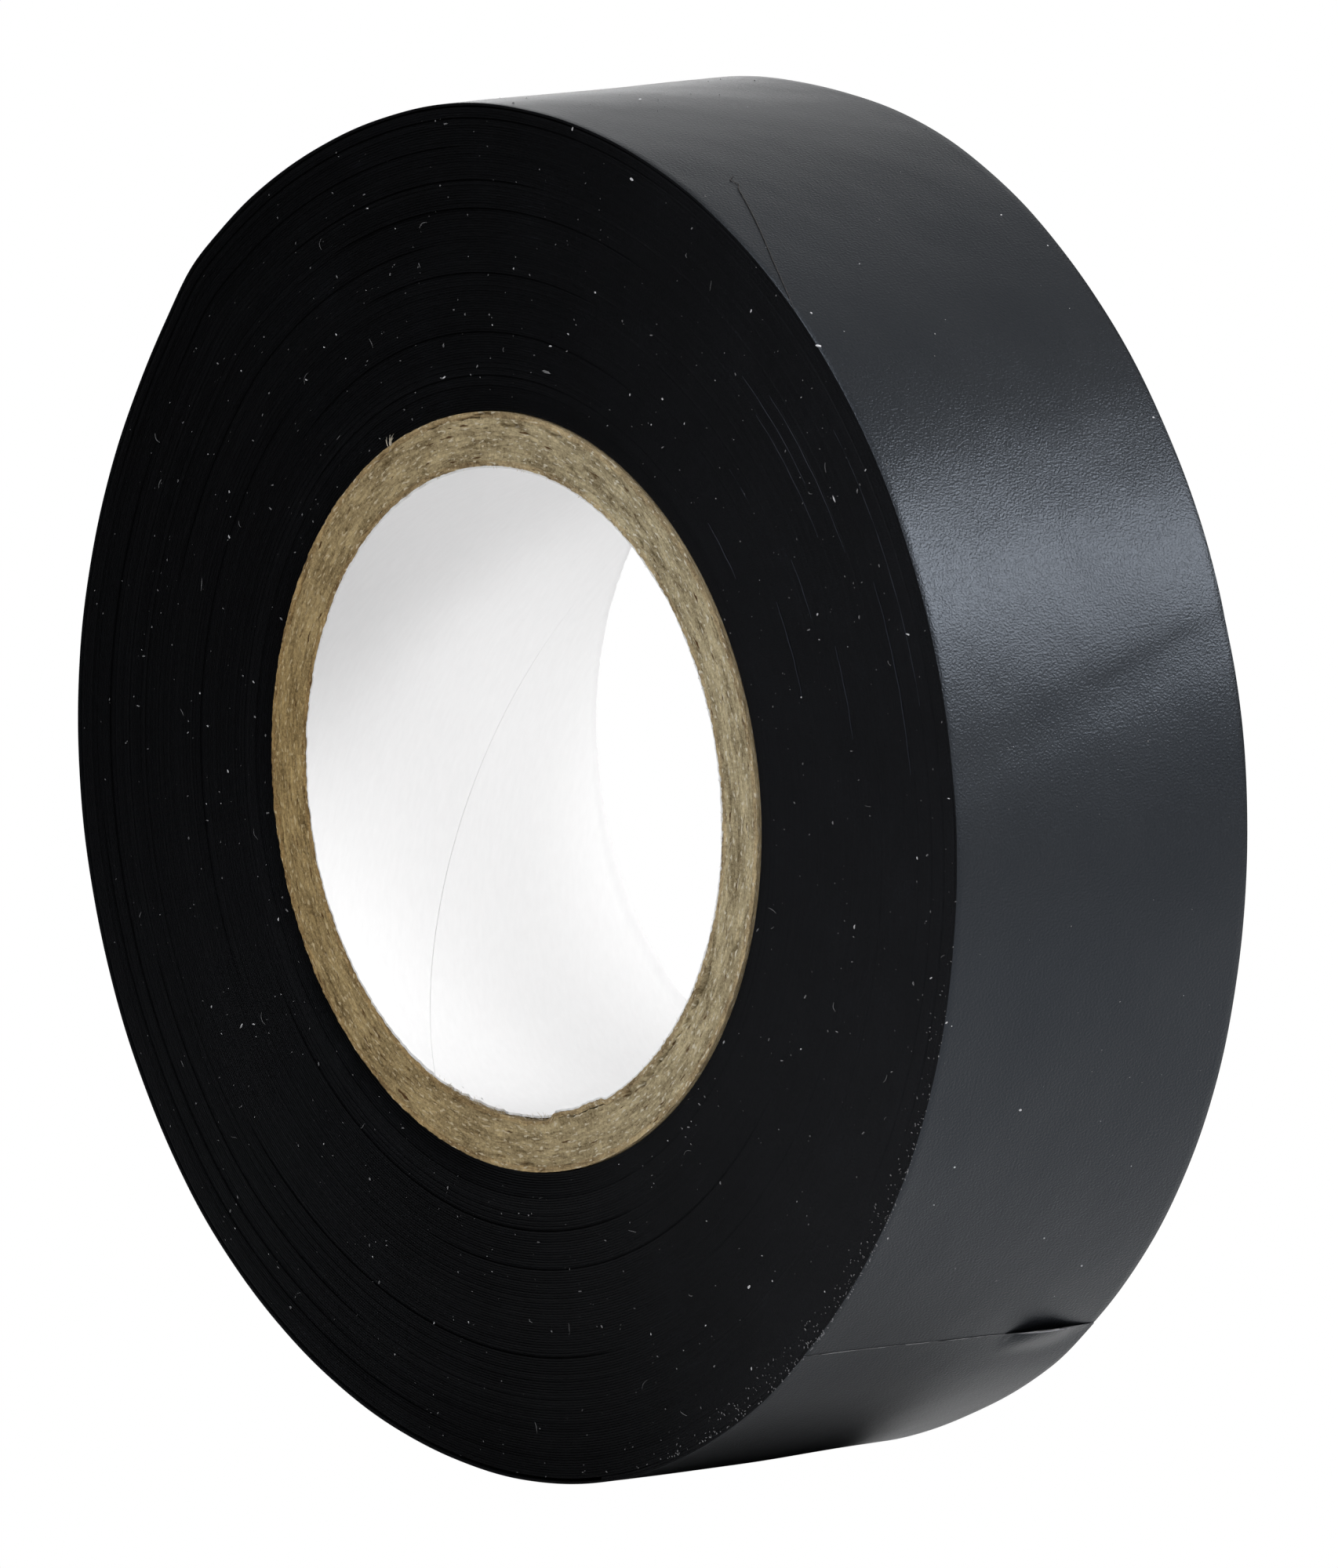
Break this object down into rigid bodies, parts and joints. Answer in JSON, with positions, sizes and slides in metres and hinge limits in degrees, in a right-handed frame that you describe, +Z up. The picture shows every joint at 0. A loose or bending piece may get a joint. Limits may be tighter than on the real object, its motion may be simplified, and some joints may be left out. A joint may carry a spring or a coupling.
{
  "type": "electrical tape roll",
  "caption": "Roll of black PVC electrical tape on a layered paperboard core, standing on its rim, with a free end that peels off.",
  "frame": {"origin": "centre of the bottom of the bounding box: the middle of the narrow flat on the rim, where the roll stands", "axes": "Y is the roll's axis and its width, with the front face towards -Y; +X right seen from the front; +Z up"},
  "size_m": [0.0697, 0.019, 0.0696],
  "materials": {
    "pvc_film": "satin black calendered PVC",
    "adhesive": "tacky black rubber adhesive",
    "liner_paper": "uncoated white paper",
    "kraft_ply": "brown kraft paper",
    "grey_board": "grey-brown recycled tube board, cut edge"
  },
  "bodies": {
    "roll": {"core_liner": "liner_paper", "core_inner_ply": "kraft_ply", "core_board_ply_1": "grey_board", "core_board_ply_2": "grey_board", "core_board_ply_3": "grey_board", "core_board_ply_4": "grey_board", "core_outer_ply": "kraft_ply", "wound_tape": "pvc_film"},
    "tape_end_1": {"tape_end_film_1": "pvc_film", "tape_end_adhesive_1": "adhesive"},
    "tape_end_2": {"tape_end_film_2": "pvc_film", "tape_end_adhesive_2": "adhesive"},
    "tape_end_3": {"tape_end_film_3": "pvc_film", "tape_end_adhesive_3": "adhesive"},
    "tape_end_4": {"tape_end_film_4": "pvc_film", "tape_end_adhesive_4": "adhesive"},
    "tape_end_5": {"tape_end_film_5": "pvc_film", "tape_end_adhesive_5": "adhesive"},
    "tape_end_6": {"tape_end_film_6": "pvc_film", "tape_end_adhesive_6": "adhesive"}
  },
  "joints": [
    {"name": "tape_end_peel", "type": "hinge", "parent": "roll", "child": "tape_end_1", "pos_m": [0.00683, 0, 0.00045], "axis": [0, 1, 0], "range_deg": [0, 12]},
    {"name": "tape_end_bend_2", "type": "hinge", "parent": "tape_end_1", "child": "tape_end_2", "pos_m": [0.00979, 0, 0.00117], "axis": [0, 1, 0], "range_deg": [0, 5]},
    {"name": "tape_end_bend_3", "type": "hinge", "parent": "tape_end_2", "child": "tape_end_3", "pos_m": [0.01268, 0, 0.00215], "axis": [0, 1, 0], "range_deg": [0, 5]},
    {"name": "tape_end_bend_4", "type": "hinge", "parent": "tape_end_3", "child": "tape_end_4", "pos_m": [0.01548, 0, 0.00338], "axis": [0, 1, 0], "range_deg": [0, 5]},
    {"name": "tape_end_bend_5", "type": "hinge", "parent": "tape_end_4", "child": "tape_end_5", "pos_m": [0.01815, 0, 0.00484], "axis": [0, 1, 0], "range_deg": [0, 5]},
    {"name": "tape_end_bend_6", "type": "hinge", "parent": "tape_end_5", "child": "tape_end_6", "pos_m": [0.02069, 0, 0.00654], "axis": [0, 1, 0], "range_deg": [0, 5]}
  ],
  "couplings": [
    {"joint": "tape_end_bend_2", "follows": "tape_end_peel", "ratio": 0.41666},
    {"joint": "tape_end_bend_3", "follows": "tape_end_peel", "ratio": 0.41666},
    {"joint": "tape_end_bend_4", "follows": "tape_end_peel", "ratio": 0.41666},
    {"joint": "tape_end_bend_5", "follows": "tape_end_peel", "ratio": 0.41666},
    {"joint": "tape_end_bend_6", "follows": "tape_end_peel", "ratio": 0.41666}
  ]
}
